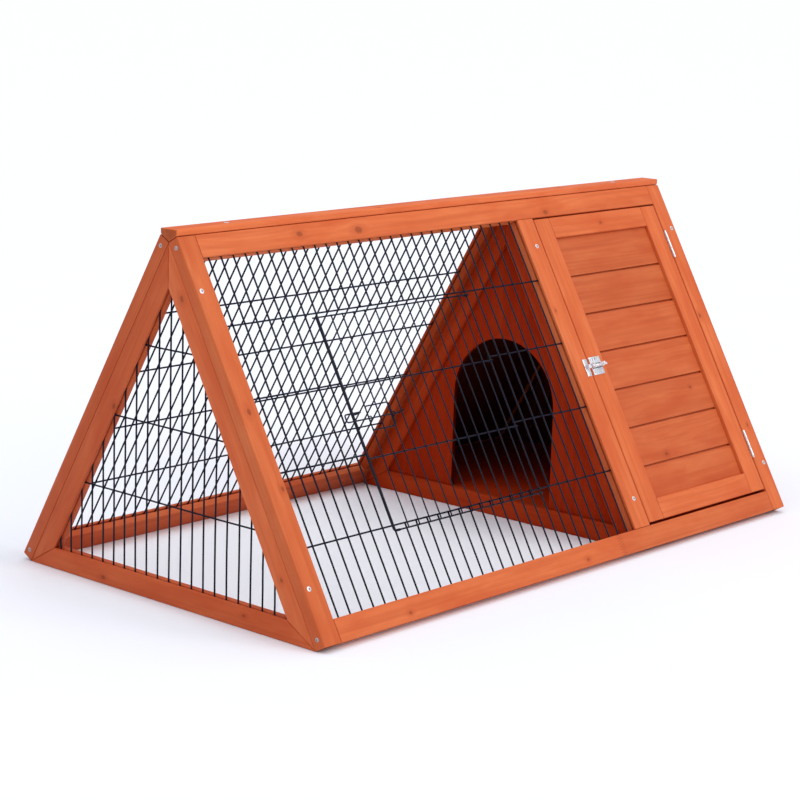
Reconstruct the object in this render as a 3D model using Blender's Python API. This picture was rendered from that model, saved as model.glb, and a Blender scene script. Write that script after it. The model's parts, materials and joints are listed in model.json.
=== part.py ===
"""A-frame chicken coop: a wire run at one end and a boarded nest box at the other.

World frame, in metres: +X runs along the ridge towards the nest box, -Y is the side with
the doors, +Z is up, and the origin is on the ground under the middle of the ridge.

Each sloping side is drawn flat, in its own panel frame: x along the ridge, y up the slope
from the inner lower edge, z out through the panel, with 0 at its inner face.
"""

import math

import bmesh
import bpy
from mathutils import Vector

# ---------------------------------------------------------------- driving dimensions
LENGTH = 1.200           # over the two end frames
HALF_BASE = 0.3155       # ridge line to a panel's inner lower edge
SLOPE = 0.634            # a panel's height, measured up the slope
PANEL_T = 0.021          # thickness of the panel timbers
STILE_W = 0.0355         # panel stiles, left and right
RAIL_W = 0.036           # panel rails, top and bottom
CROSS_W = 0.0335         # width of the triangle frames' timbers
CROSS_T = 0.020          # their thickness
GAP = 0.0003             # clearance between touching pieces

POST_LEFT = 0.168        # middle post between run and nest box
POST_W = 0.0415
PARTITION_X = 0.1833     # run side of the partition frame
BOARD_T = 0.008          # partition board and nest floor

ARCH_R = 0.111           # doorway in the partition
ARCH_Y = -0.004
ARCH_SPRING_Z = 0.205

CAP_HALF_W = 0.0175      # ridge cap
CAP_TOP_Z = 0.570
CAP_CLEARANCE = 0.0012

WIRE_R = 0.001           # half the width of a mesh wire
WIRE_PITCH = 0.025       # between wires that run up the mesh
WIRE_DEPTH = 0.0065      # wire centre below the outer face of its frame
ROW_PITCH = 0.115        # between the cross wires
FRONT_FIRST_WIRE = -0.5485
FRONT_WIRES = 29
FRONT_FIRST_ROW = 0.1445
BACK_FIRST_WIRE = -0.5365
BACK_WIRES = 28
BACK_FIRST_ROW = 0.1365
SIDE_ROWS = 4
END_WIRES = 21
END_WIRE_SHIFT = -0.002
END_FIRST_ROW = 0.1515
END_ROW_PITCH = 0.1187
END_ROWS = 3
GROOVE_W = 0.0032        # saw kerf that holds the mesh
GROOVE_D = 0.006
WIRE_TUCK = 0.004        # how far a wire end reaches into the kerf

HATCH_LEFT_WIRE = 7      # front mesh wires on each side of the wire door's opening
HATCH_RIGHT_WIRE = 21
HATCH_BOTTOM = 0.1365
HATCH_TOP = 0.4820
HATCH_STANDOFF = 0.0038  # wire door plane in front of the mesh plane
HATCH_FRAME_X = -0.379
HATCH_TOP_OVERHANG = 0.009
HOOK_R = 0.0009

DOOR_GAP = 0.002         # beside the nest door, at its latch
HINGE_GAP = 0.0026       # beside the nest door, at its hinges
DOOR_BOTTOM = 0.0405
DOOR_TOP = 0.595
DOOR_STILE_W = 0.041
DOOR_RAIL_W = 0.037
PLANK_PITCH = 0.0702
PLANKS = 7
PLANK_BACK = 0.0055      # plank faces, out from the panel's inner face
PLANK_FRONT = 0.0150
PLANK_LAP = 0.006
PLANK_REVEAL = 0.0035

BACK_BOARDS = 4
END_BOARD_PITCH = 0.1404
END_BOARDS = 3
END_BOARD_INSET = 0.005
END_BOARD_T = 0.0075

HINGE_CENTRES = {"lower": 0.126, "upper": 0.517}
HINGE_LENGTH = 0.050
LEAF_T = 0.0008
LEAF_FOOT = 0.003        # how deep a leaf reaches into the gap, from the inner face
KNUCKLE_R = 0.0023
BORE_R = 0.00125
PIN_R = 0.0010

BOLT_S = 0.3225          # barrel bolt, height up the slope
BOLT_R = 0.0025
BOLT_TRAVEL = 0.012      # from drawn back to home in the keeper
PLATE_T = 0.001
STRAP_T = 0.001
STRAP_W = 0.004

LATCH_S = 0.3115         # wire latch on the wire door, height up the slope
LATCH_R = 0.0012
LATCH_LOOP_H = 0.0125    # its loop, from the sliding leg to the hooked one
LATCH_LEFT_X = -0.4000
LATCH_GRIP_X = -0.2860
LATCH_GRIP_OUT = 0.014
LATCH_BEND = 0.003
HOOK_STEM_X = -0.3630    # where the loop's end turns in through the mesh
HOOK_TIP_X = -0.3710
GUIDE_X = (-0.3500, -0.2950)
GUIDE_S = (0.2920, 0.3330)
GUIDE_CLEARANCE = 0.0005 # around the latch in the guide's staples

ANGLE = math.acos(HALF_BASE / SLOPE)
TAN = math.tan(ANGLE)
SIN = math.sin(ANGLE)
COS = math.cos(ANGLE)

LEFT_X = -LENGTH / 2
RIGHT_X = LENGTH / 2
STILE_IN_L = LEFT_X + STILE_W
STILE_IN_R = RIGHT_X - STILE_W
POST_RIGHT = POST_LEFT + POST_W
RAIL_IN_B = RAIL_W
RAIL_IN_T = SLOPE - RAIL_W
WIRE_H = PANEL_T - WIRE_DEPTH

WOOD = ("stained_wood", (0.60, 0.17, 0.055), 0.55, 0.0)
WOOD_INSIDE = ("stained_board", (0.42, 0.09, 0.03), 0.6, 0.0)
WIRE = ("black_wire", (0.015, 0.017, 0.028), 0.45, 0.6)
ZINC = ("zinc_plate", (0.72, 0.73, 0.75), 0.3, 1.0)


# ---------------------------------------------------------------- scene and materials
def clear_scene():
    for item in list(bpy.data.objects):
        bpy.data.objects.remove(item, do_unlink=True)


def material(spec):
    """A plain Principled material, made once for each spec."""
    name, colour, roughness, metallic = spec
    made = bpy.data.materials.get(name)
    if made is None:
        made = bpy.data.materials.new(name)
        made.use_nodes = True
        shader = made.node_tree.nodes["Principled BSDF"]
        shader.inputs["Base Color"].default_value = (*colour, 1.0)
        shader.inputs["Roughness"].default_value = roughness
        shader.inputs["Metallic"].default_value = metallic
    return made


def empty(name, parent=None, location=(0, 0, 0), rotation=(0, 0, 0)):
    """A frame of reference for the pieces parented to it."""
    item = bpy.data.objects.new(name, None)
    bpy.context.collection.objects.link(item)
    item.parent = parent
    item.location = location
    item.rotation_euler = rotation
    return item


# ---------------------------------------------------------------- mesh helpers
def finish_mesh(bm, name, parent, spec, origin=None):
    """Close a bmesh into an object whose origin is its middle, or a given point."""
    bmesh.ops.remove_doubles(bm, verts=bm.verts, dist=1e-6)
    bmesh.ops.recalc_face_normals(bm, faces=bm.faces)
    if origin is None:
        low = Vector(min(v.co[i] for v in bm.verts) for i in range(3))
        high = Vector(max(v.co[i] for v in bm.verts) for i in range(3))
        origin = (low + high) / 2
    origin = Vector(origin)
    bmesh.ops.translate(bm, verts=bm.verts, vec=-origin)
    mesh = bpy.data.meshes.new(name)
    bm.to_mesh(mesh)
    bm.free()
    mesh.materials.append(material(spec))
    item = bpy.data.objects.new(name, mesh)
    bpy.context.collection.objects.link(item)
    item.parent = parent
    item.location = origin
    return item


def on_axis(axis, a, b, along):
    """The point (a, b) of an outline that is extruded along an axis."""
    if axis == "x":
        return (along, a, b)
    if axis == "y":
        return (a, along, b)
    return (a, b, along)


def add_prism(bm, outline, axis, start, end):
    low = [bm.verts.new(on_axis(axis, a, b, start)) for a, b in outline]
    high = [bm.verts.new(on_axis(axis, a, b, end)) for a, b in outline]
    bm.faces.new(low[::-1])
    bm.faces.new(high)
    count = len(outline)
    for i in range(count):
        j = (i + 1) % count
        bm.faces.new((low[i], low[j], high[j], high[i]))


def prism(name, parent, spec, outline, axis, start, end, origin=None):
    bm = bmesh.new()
    add_prism(bm, outline, axis, start, end)
    return finish_mesh(bm, name, parent, spec, origin)


def rectangle(a0, a1, b0, b1):
    return [(a0, b0), (a1, b0), (a1, b1), (a0, b1)]


def block(name, parent, spec, xs, ys, zs):
    """A rectangular timber or plate between two corners."""
    return prism(name, parent, spec, rectangle(*xs, *ys), "z", *zs)


def arc(centre, radius, start, end, steps):
    """Points on a circle, from one angle to another, in degrees."""
    points = []
    for i in range(steps + 1):
        turn = math.radians(start + (end - start) * i / steps)
        points.append((centre[0] + radius * math.cos(turn), centre[1] + radius * math.sin(turn)))
    return points


def turned(name, parent, spec, axis, centre, profile, sides=16):
    """A solid of revolution; the profile is (position along the axis, radius) pairs."""
    bm = bmesh.new()
    rings = []
    for along, radius in profile:
        points = arc(centre, radius, 0, 360 - 360 / sides, sides - 1)
        rings.append([bm.verts.new(on_axis(axis, a, b, along)) for a, b in points])
    bm.faces.new(rings[0][::-1])
    bm.faces.new(rings[-1])
    for lower, upper in zip(rings, rings[1:]):
        for i in range(sides):
            j = (i + 1) % sides
            bm.faces.new((lower[i], lower[j], upper[j], upper[i]))
    item = finish_mesh(bm, name, parent, spec)
    item.data.shade_smooth()
    item.data.set_sharp_from_angle(angle=math.radians(40))
    return item


def helper(item):
    """Marks an object as a cutter or a part of a union, not a piece."""
    item.hide_render = True
    item.display_type = "WIRE"
    return item


def combine(item, other, operation):
    change = item.modifiers.new(other.name, "BOOLEAN")
    change.object = other
    change.operation = operation
    change.solver = "EXACT"


def swept_wire(name, parent, spec, points, radius, origin):
    """A bent wire of round section along points given in the parent's frame."""
    curve = bpy.data.curves.new(name, "CURVE")
    curve.dimensions = "3D"
    curve.bevel_depth = radius
    curve.bevel_resolution = 2
    curve.use_fill_caps = True
    line = curve.splines.new("POLY")
    line.points.add(len(points) - 1)
    for knot, point in zip(line.points, points):
        knot.co = (*(Vector(point) - Vector(origin)), 1.0)
    curve.materials.append(material(spec))
    item = bpy.data.objects.new(name, curve)
    bpy.context.collection.objects.link(item)
    item.parent = parent
    item.location = origin
    return item


# ---------------------------------------------------------------- wire mesh
def wire_levels(low, high, rows):
    """Heights where a wire's sides are split, and whether a row crosses above each one."""
    levels = []
    position = low
    for row in rows:
        if row - WIRE_R > position + 1e-7:
            levels.append((position, row - WIRE_R, None))
        levels.append((row - WIRE_R, row + WIRE_R, row))
        position = row + WIRE_R
    if high > position + 1e-7:
        levels.append((position, high, None))
    return levels


def lattice(name, parent, spec, plane, wires, rows, to_point):
    """A welded mesh in one flat layer.

    wires are (place, low, high), rows are (height, left end, right end), and plane is the
    middle of the layer. to_point turns (place, height, depth) into the parent's frame.
    """
    bm = bmesh.new()
    near = plane + WIRE_R
    far = plane - WIRE_R

    def quad(*corners):
        bm.faces.new([bm.verts.new(to_point(*corner)) for corner in corners])

    def slab(left, right, low, high, open_left, open_right, open_low, open_high):
        quad((left, low, near), (right, low, near), (right, high, near), (left, high, near))
        quad((left, low, far), (left, high, far), (right, high, far), (right, low, far))
        if open_left:
            quad((left, low, far), (left, low, near), (left, high, near), (left, high, far))
        if open_right:
            quad((right, low, near), (right, low, far), (right, high, far), (right, high, near))
        if open_low:
            quad((left, low, far), (right, low, far), (right, low, near), (left, low, near))
        if open_high:
            quad((left, high, near), (right, high, near), (right, high, far), (left, high, far))

    row_ends = {height: (left, right) for height, left, right in rows}
    crossings = {height: [] for height, _, _ in rows}
    for place, low, high in wires:
        crossed = []
        for height, left, right in rows:
            inside = left - 1e-7 <= place - WIRE_R and place + WIRE_R <= right + 1e-7
            if inside and low - 1e-7 <= height - WIRE_R and height + WIRE_R <= high + 1e-7:
                crossed.append(height)
                crossings[height].append(place)
        levels = wire_levels(low, high, crossed)
        for index, (bottom, top, row) in enumerate(levels):
            left_free = row is None or row_ends[row][0] > place - WIRE_R - 1e-6
            right_free = row is None or row_ends[row][1] < place + WIRE_R + 1e-6
            slab(place - WIRE_R, place + WIRE_R, bottom, top, left_free, right_free,
                 index == 0, index == len(levels) - 1)
    for height, places in crossings.items():
        left, right = row_ends[height]
        edges = [place + WIRE_R for place in places]
        starts = [left] + edges
        ends = [place - WIRE_R for place in places] + [right]
        for start, end in zip(starts, ends):
            if end - start > 1e-6:
                slab(start, end, height - WIRE_R, height + WIRE_R,
                     start == left, end == right, True, True)
    return finish_mesh(bm, name, parent, spec)


def in_panel(place, height, depth):
    return (place, height, depth)


def in_end_frame(place, height, depth):
    return (depth, place, height)


# ---------------------------------------------------------------- triangle frames
def slope_y(z, inset):
    """y of a line at a given inset inside the front panel's inner face, at height z."""
    return -HALF_BASE + z / TAN + inset / SIN


def peak_z(inset):
    """Height where the two inset lines meet under the ridge."""
    return (HALF_BASE - inset / SIN) * TAN


def triangle_frame(name, x0, kerf=None):
    """Two rafters mitred at the peak and onto a bottom rail."""
    x1 = x0 + CROSS_T
    foot = slope_y(0, GAP)
    knee = slope_y(CROSS_W, CROSS_W)
    lift = (GAP * COS, GAP * SIN)
    seam = GAP / 2
    rafter = [
        (foot + lift[0], lift[1]),
        (knee + lift[0], CROSS_W + lift[1]),
        (-seam, peak_z(CROSS_W) - seam * TAN),
        (-seam, peak_z(GAP) - seam * TAN),
    ]
    mirrored = [(-y, z) for y, z in rafter]
    rail = [(foot + GAP, 0), (-foot - GAP, 0), (-knee - GAP, CROSS_W), (knee + GAP, CROSS_W)]
    pieces = [
        prism(name + "_rafter_front", None, WOOD, rafter, "x", x0, x1),
        prism(name + "_rafter_back", None, WOOD, mirrored, "x", x0, x1),
        prism(name + "_bottom_rail", None, WOOD, rail, "x", x0, x1),
    ]
    if kerf is not None:
        for piece in pieces:
            combine(piece, kerf, "DIFFERENCE")


def end_kerf():
    """Cutter for the groove around the end frame's opening."""
    inset = CROSS_W - GROOVE_D
    corner = slope_y(inset, inset)
    outline = [(corner, inset), (-corner, inset), (0, peak_z(inset))]
    plane = LEFT_X + WIRE_DEPTH
    item = prism("end_kerf_cutter", None, WOOD, outline, "x",
                 plane - GROOVE_W / 2, plane + GROOVE_W / 2)
    return helper(item)


def end_mesh():
    """The triangle of mesh in the run's end frame; its lowest cross wire is in the kerf."""
    wires = []
    for i in range(END_WIRES):
        y = (i - (END_WIRES - 1) / 2) * WIRE_PITCH + END_WIRE_SHIFT
        top = peak_z(CROSS_W) - abs(y) * TAN
        wires.append((y, CROSS_W - WIRE_TUCK, top + WIRE_TUCK))
    rows = []
    selvedge = CROSS_W - WIRE_TUCK + WIRE_R
    for z in [selvedge] + [END_FIRST_ROW + j * END_ROW_PITCH for j in range(END_ROWS)]:
        reach = -slope_y(z, CROSS_W) + WIRE_TUCK
        rows.append((z, -reach, reach))
    lattice("end_mesh", None, WIRE, LEFT_X + WIRE_DEPTH, wires, rows, in_end_frame)


def partition_board():
    """Board in the partition frame, with the arched doorway into the nest box."""
    bottom = CROSS_W + GAP
    corner = slope_y(bottom, CROSS_W + GAP)
    arch = arc((ARCH_Y, ARCH_SPRING_Z), ARCH_R, 180, 0, 20)
    outline = [(corner, bottom), (ARCH_Y - ARCH_R, bottom)] + arch
    outline += [(ARCH_Y + ARCH_R, bottom), (-corner, bottom), (0, peak_z(CROSS_W + GAP))]
    start = PARTITION_X + 0.006
    prism("partition_board", None, WOOD_INSIDE, outline, "x", start, start + BOARD_T)


def end_boards():
    """Boards that close the nest box's end frame."""
    outer = RIGHT_X - END_BOARD_INSET
    for i in range(END_BOARDS):
        low = CROSS_W + GAP + i * END_BOARD_PITCH
        half_low = -slope_y(low, CROSS_W + GAP)
        outline = [(-half_low, low), (half_low, low)]
        if i == END_BOARDS - 1:
            outline.append((0, peak_z(CROSS_W + GAP)))
        else:
            high = low + END_BOARD_PITCH - GAP
            half_high = -slope_y(high, CROSS_W + GAP)
            outline += [(half_high, high), (-half_high, high)]
        prism(f"nest_end_board_{i + 1}", None, WOOD, outline, "x", outer - END_BOARD_T, outer)


def nest_floor():
    """Floor between the partition and the end frame, flush with their bottom rails."""
    top = CROSS_W
    half = -slope_y(top, GAP)
    block("nest_floor", None, WOOD_INSIDE,
          (PARTITION_X + CROSS_T + GAP, RIGHT_X - CROSS_T - GAP), (-half, half),
          (top - BOARD_T, top))


def ridge_cap():
    """Five-sided cap that sits in the notch between the two panels."""
    notch = (math.pi / 2) - ANGLE
    tip = peak_z(0) + CAP_CLEARANCE
    shoulder = tip + CAP_HALF_W * math.tan(notch)
    outline = [(0, tip), (CAP_HALF_W, shoulder), (CAP_HALF_W, CAP_TOP_Z)]
    outline += [(-CAP_HALF_W, CAP_TOP_Z), (-CAP_HALF_W, shoulder)]
    prism("ridge_cap", None, WOOD, outline, "x", LEFT_X, RIGHT_X)


# ---------------------------------------------------------------- side panels
def panel_frame(name, frame, side):
    """Stiles, rails and middle post; side is 1 at the front and -1 at the back, where the
    panel frame's x runs the other way."""
    def span(a, b):
        return tuple(sorted((side * a, side * b)))

    depth = (0, PANEL_T)
    rail = span(STILE_IN_L + GAP, STILE_IN_R - GAP)
    pieces = [
        block(name + "_stile_left", frame, WOOD, span(LEFT_X, STILE_IN_L), (0, SLOPE), depth),
        block(name + "_bottom_rail", frame, WOOD, rail, (0, RAIL_IN_B), depth),
        block(name + "_top_rail", frame, WOOD, rail, (RAIL_IN_T, SLOPE), depth),
        block(name + "_middle_post", frame, WOOD, span(POST_LEFT, POST_RIGHT),
              (RAIL_IN_B + GAP, RAIL_IN_T - GAP), depth),
    ]
    block(name + "_stile_right", frame, WOOD, span(STILE_IN_R, RIGHT_X), (0, SLOPE), depth)
    kerf = block(name + "_kerf_cutter", frame, WOOD,
                 span(STILE_IN_L - GROOVE_D, POST_LEFT + GROOVE_D),
                 (RAIL_IN_B - GROOVE_D, RAIL_IN_T + GROOVE_D),
                 (WIRE_H - GROOVE_W / 2, WIRE_H + GROOVE_W / 2))
    helper(kerf)
    for piece in pieces:
        combine(piece, kerf, "DIFFERENCE")


def back_mesh(frame):
    """Mesh of the run's back panel, in one sheet."""
    low = RAIL_IN_B - WIRE_TUCK
    high = RAIL_IN_T + WIRE_TUCK
    places = [BACK_FIRST_WIRE + i * WIRE_PITCH for i in range(BACK_WIRES)]
    wires = [(-place, low, high) for place in reversed(places)]
    left = -(POST_LEFT + WIRE_TUCK)
    right = -(STILE_IN_L - WIRE_TUCK)
    rows = [(BACK_FIRST_ROW + j * ROW_PITCH, left, right) for j in range(SIDE_ROWS)]
    lattice("back_mesh", frame, WIRE, WIRE_H, wires, rows, in_panel)


def front_mesh(frame):
    """Mesh of the run's front panel, in four sheets around the wire door's opening."""
    low = RAIL_IN_B - WIRE_TUCK
    high = RAIL_IN_T + WIRE_TUCK
    places = [FRONT_FIRST_WIRE + i * WIRE_PITCH for i in range(FRONT_WIRES)]
    heights = [FRONT_FIRST_ROW + j * ROW_PITCH for j in range(SIDE_ROWS)]
    hatch_left = places[HATCH_LEFT_WIRE]
    hatch_right = places[HATCH_RIGHT_WIRE]

    wires = [(place, low, high) for place in places[:HATCH_LEFT_WIRE + 1]]
    rows = [(height, STILE_IN_L - WIRE_TUCK, hatch_left + WIRE_R) for height in heights]
    lattice("front_mesh_left", frame, WIRE, WIRE_H, wires, rows, in_panel)

    wires = [(place, low, high) for place in places[HATCH_RIGHT_WIRE:]]
    rows = [(height, hatch_right - WIRE_R, POST_LEFT + WIRE_TUCK) for height in heights]
    lattice("front_mesh_right", frame, WIRE, WIRE_H, wires, rows, in_panel)

    between = places[HATCH_LEFT_WIRE + 1:HATCH_RIGHT_WIRE]
    left = hatch_left + WIRE_R + GAP
    right = hatch_right - WIRE_R - GAP
    wires = [(place, low, heights[0] + WIRE_R) for place in between]
    lattice("front_mesh_under_door", frame, WIRE, WIRE_H, wires, [(heights[0], left, right)],
            in_panel)
    wires = [(place, heights[-1] - WIRE_R, high) for place in between]
    lattice("front_mesh_over_door", frame, WIRE, WIRE_H, wires, [(heights[-1], left, right)],
            in_panel)


def back_boards(frame):
    """Boards that close the nest box at the back."""
    left = -(STILE_IN_R - GAP)
    right = -(POST_RIGHT + GAP)
    pitch = (RAIL_IN_T - RAIL_IN_B) / BACK_BOARDS
    for i in range(BACK_BOARDS):
        low = RAIL_IN_B + i * pitch
        outline = plank_outline(low, low + pitch, i > 0, i < BACK_BOARDS - 1)
        prism(f"nest_back_board_{i + 1}", frame, WOOD, outline, "x", left, right)


def plank_outline(low, high, lapped_below, lapped_above):
    """Section of a shiplap plank: its tongue goes behind the plank above."""
    middle = (PLANK_BACK + PLANK_FRONT) / 2
    if lapped_below:
        start = low + PLANK_LAP + GAP
        outline = [(low, PLANK_FRONT), (low, middle + GAP / 2), (start, middle + GAP / 2)]
        outline.append((start, PLANK_BACK))
    else:
        outline = [(low + GAP, PLANK_FRONT), (low + GAP, PLANK_BACK)]
    if lapped_above:
        tip = high + PLANK_LAP
        shoulder = high - PLANK_REVEAL
        outline += [(tip, PLANK_BACK), (tip, middle - GAP / 2)]
        outline += [(shoulder, middle - GAP / 2), (shoulder, PLANK_FRONT)]
    else:
        outline += [(high - GAP, PLANK_BACK), (high - GAP, PLANK_FRONT)]
    return outline


# ---------------------------------------------------------------- nest door
DOOR_LEFT = POST_RIGHT + DOOR_GAP
DOOR_RIGHT = STILE_IN_R - HINGE_GAP
PIN_X = STILE_IN_R - HINGE_GAP / 2
PIN_H = PANEL_T + 0.0022


def nest_door(pivot):
    """Framed and planked door; pivot is the empty on the hinge line."""
    def span(a, b):
        return (a - PIN_X, b - PIN_X)

    depth = (-PIN_H, PANEL_T - PIN_H)
    left = DOOR_LEFT + DOOR_STILE_W
    right = DOOR_RIGHT - DOOR_STILE_W
    low = DOOR_BOTTOM + DOOR_RAIL_W
    high = DOOR_TOP - DOOR_RAIL_W
    inner = span(left + GAP, right - GAP)
    height = (DOOR_BOTTOM, DOOR_TOP)
    block("nest_door_stile_latch", pivot, WOOD, span(DOOR_LEFT, left), height, depth)
    block("nest_door_stile_hinge", pivot, WOOD, span(right, DOOR_RIGHT), height, depth)
    block("nest_door_bottom_rail", pivot, WOOD, inner, (DOOR_BOTTOM, low), depth)
    block("nest_door_top_rail", pivot, WOOD, inner, (high, DOOR_TOP), depth)
    for i in range(PLANKS):
        top = high - i * PLANK_PITCH
        bottom = low if i == PLANKS - 1 else top - PLANK_PITCH
        section = plank_outline(bottom, top, i < PLANKS - 1, i > 0)
        outline = [(s, h - PIN_H) for s, h in section]
        prism(f"nest_door_plank_{i + 1}", pivot, WOOD, outline, "x", *inner)


def knuckles(name, parent, spans, x, h):
    """Hinge knuckles and the bore through them, as helpers on a given axis."""
    barrels = []
    for number, (start, end) in enumerate(spans):
        outline = arc((x, h), KNUCKLE_R, 0, 337.5, 15)
        barrels.append(helper(prism(f"{name}_knuckle_{number}", parent, ZINC, outline, "y",
                                    start, end)))
    outline = arc((x, h), BORE_R, 0, 330, 11)
    reach = HINGE_LENGTH
    bore = prism(name + "_bore", parent, ZINC, outline, "y", spans[0][0] - reach,
                 spans[-1][1] + reach)
    return barrels, helper(bore)


def hinge_leaf(name, parent, x, h, leaf_x, foot, bottom, own, other):
    """A leaf with its knuckles; own and other are the knuckle spans of each leaf."""
    crown = h - KNUCKLE_R - 2 * GAP
    top = bottom + HINGE_LENGTH
    outline = [(bottom, foot), (top, foot)]
    spans = sorted([(a, b, True) for a, b in own] + [(a, b, False) for a, b in other])
    for start, end, mine in reversed(spans):
        level = h if mine else crown
        outline += [(min(end, top), level), (max(start, bottom), level)]
    bm = bmesh.new()
    add_prism(bm, outline, "x", leaf_x, leaf_x + LEAF_T)
    leaf = finish_mesh(bm, name, parent, ZINC)
    barrels, bore = knuckles(name, parent, own, x, h)
    for barrel in barrels:
        combine(leaf, barrel, "UNION")
    combine(leaf, bore, "DIFFERENCE")


def nest_hinge(label, centre, frame, pivot):
    """Butt hinge: fixed leaf on the stile, moving leaf on the door, pin through both."""
    bottom = centre - HINGE_LENGTH / 2
    third = HINGE_LENGTH / 3
    fixed = [(bottom, bottom + third - GAP / 2),
             (bottom + 2 * third + GAP / 2, bottom + HINGE_LENGTH)]
    moving = [(bottom + third + GAP / 2, bottom + 2 * third - GAP / 2)]
    hinge_leaf(f"nest_hinge_{label}_fixed_leaf", frame, PIN_X, PIN_H,
               STILE_IN_R - GAP - LEAF_T, LEAF_FOOT, bottom, fixed, moving)
    hinge_leaf(f"nest_hinge_{label}_door_leaf", pivot, 0, 0,
               DOOR_RIGHT + GAP - PIN_X, LEAF_FOOT - PIN_H, bottom, moving, fixed)
    head = 2 * PIN_R
    profile = [(bottom - GAP - 0.0008, head), (bottom - GAP, head), (bottom - GAP, PIN_R),
               (bottom + HINGE_LENGTH + GAP, PIN_R), (bottom + HINGE_LENGTH + GAP, head),
               (bottom + HINGE_LENGTH + GAP + 0.0008, head)]
    turned(f"nest_hinge_{label}_pin", frame, ZINC, "y", (PIN_X, PIN_H), profile, 12)


# ---------------------------------------------------------------- barrel bolt
KEEPER_X = (0.1955, 0.2070)
PLATE_X = (0.2135, 0.2430)
STRAPS_X = (0.2150, 0.2385)
BOLT_TIP_X = KEEPER_X[0] + 0.005 + BOLT_TRAVEL
BOLT_END_X = 0.2475
HANDLE_X = 0.2350
BOLT_RISE = 0.0048       # bolt centre above the timber's face


def strapped_plate(name, parent, xs, ys, base, straps, s):
    """Pressed plate on a timber's face, with raised straps around the bolt."""
    plate = block(name, parent, ZINC, xs, ys, (base + GAP, base + GAP + PLATE_T))
    inner = BOLT_R + 0.0004
    outer = inner + STRAP_T
    centre = (s, base + BOLT_RISE)
    sole = base + GAP + PLATE_T / 2
    outline = [(s + outer, sole)] + arc(centre, outer, 0, 180, 10) + [(s - outer, sole)]
    outline += [(s - inner, sole)] + arc(centre, inner, 180, 0, 10) + [(s + inner, sole)]
    for number, (start, end) in enumerate(straps):
        strap = prism(f"{name}_strap_{number}", parent, ZINC, outline, "x", start, end)
        combine(plate, helper(strap), "UNION")
    return plate


def barrel_bolt(frame, pivot):
    """Keeper on the post, and the plate and sliding bolt on the door, shown drawn back."""
    keeper_mid = (KEEPER_X[0] + KEEPER_X[1]) / 2
    strapped_plate("nest_latch_keeper", frame, KEEPER_X, (0.3065, 0.3370), PANEL_T,
                   [(keeper_mid - 0.0025, keeper_mid + 0.0045)], BOLT_S)
    straps = [(x - PIN_X, x - PIN_X + STRAP_W) for x in STRAPS_X]
    strapped_plate("nest_latch_plate", pivot, (PLATE_X[0] - PIN_X, PLATE_X[1] - PIN_X),
                   (0.3065, 0.3385), PANEL_T - PIN_H, straps, BOLT_S)
    centre = (BOLT_S, PANEL_T - PIN_H + BOLT_RISE)
    tip = BOLT_TIP_X - PIN_X
    end = BOLT_END_X - PIN_X
    profile = [(tip, BOLT_R - 0.0006), (tip + 0.0006, BOLT_R), (end - 0.001, BOLT_R),
               (end - 0.001, 0.0014), (end, 0.0014), (end + 0.0006, 0.0022),
               (end + 0.0030, 0.0025), (end + 0.0045, 0.0016)]
    bolt = turned("nest_latch_bolt", pivot, ZINC, "x", centre, profile, 12)
    handle_x = HANDLE_X - PIN_X
    rise = centre[1]
    outline = arc((handle_x, BOLT_S), 0.0015, 0, 324, 9)
    stem = prism("nest_latch_bolt_stem", pivot, ZINC, outline, "z", rise, rise + 0.0085)
    combine(bolt, helper(stem), "UNION")
    outline = arc((handle_x, BOLT_S), 0.0027, 0, 324, 9)
    knob = prism("nest_latch_bolt_knob", pivot, ZINC, outline, "z", rise + 0.0070,
                 rise + 0.0100)
    combine(bolt, helper(knob), "UNION")


# ---------------------------------------------------------------- wire door
HATCH_PIVOT_X = FRONT_FIRST_WIRE + HATCH_RIGHT_WIRE * WIRE_PITCH


def hook_outline(radius):
    """A wire end curled round the hinge wire, in the plane across it."""
    outer = radius + HOOK_R
    inner = radius - HOOK_R
    return (arc((0, 0), outer, 90, -130, 14) + arc((0, 0), inner, -130, 90, 14)
            + [(-0.004, inner), (-0.004, outer)])


def wire_door(pivot):
    """Welded door with a heavier frame wire; pivot is the empty on the mesh wire it
    hangs on."""
    def local(x):
        return x - HATCH_PIVOT_X

    first = HATCH_LEFT_WIRE + 1
    places = [local(FRONT_FIRST_WIRE + i * WIRE_PITCH) for i in range(first, HATCH_RIGHT_WIRE)]
    frame_x = local(HATCH_FRAME_X)
    low = HATCH_BOTTOM
    high = HATCH_TOP
    wires = [(frame_x, low - WIRE_R, high + WIRE_R)]
    wires += [(place, low - WIRE_R, high + WIRE_R) for place in places]
    right = -0.002
    step = (high - low) / 3
    rows = [(low, frame_x - WIRE_R, right), (low + step, frame_x - WIRE_R, right),
            (high - step, frame_x - WIRE_R, right),
            (high, frame_x - HATCH_TOP_OVERHANG, right)]
    door = lattice("wire_door", pivot, WIRE, HATCH_STANDOFF, wires, rows, in_panel)
    for number, (height, _, _) in enumerate(rows):
        hook = prism(f"wire_door_hook_{number}", pivot, WIRE, hook_outline(HATCH_STANDOFF),
                     "y", height - HOOK_R, height + HOOK_R)
        combine(door, helper(hook), "UNION")


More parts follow.
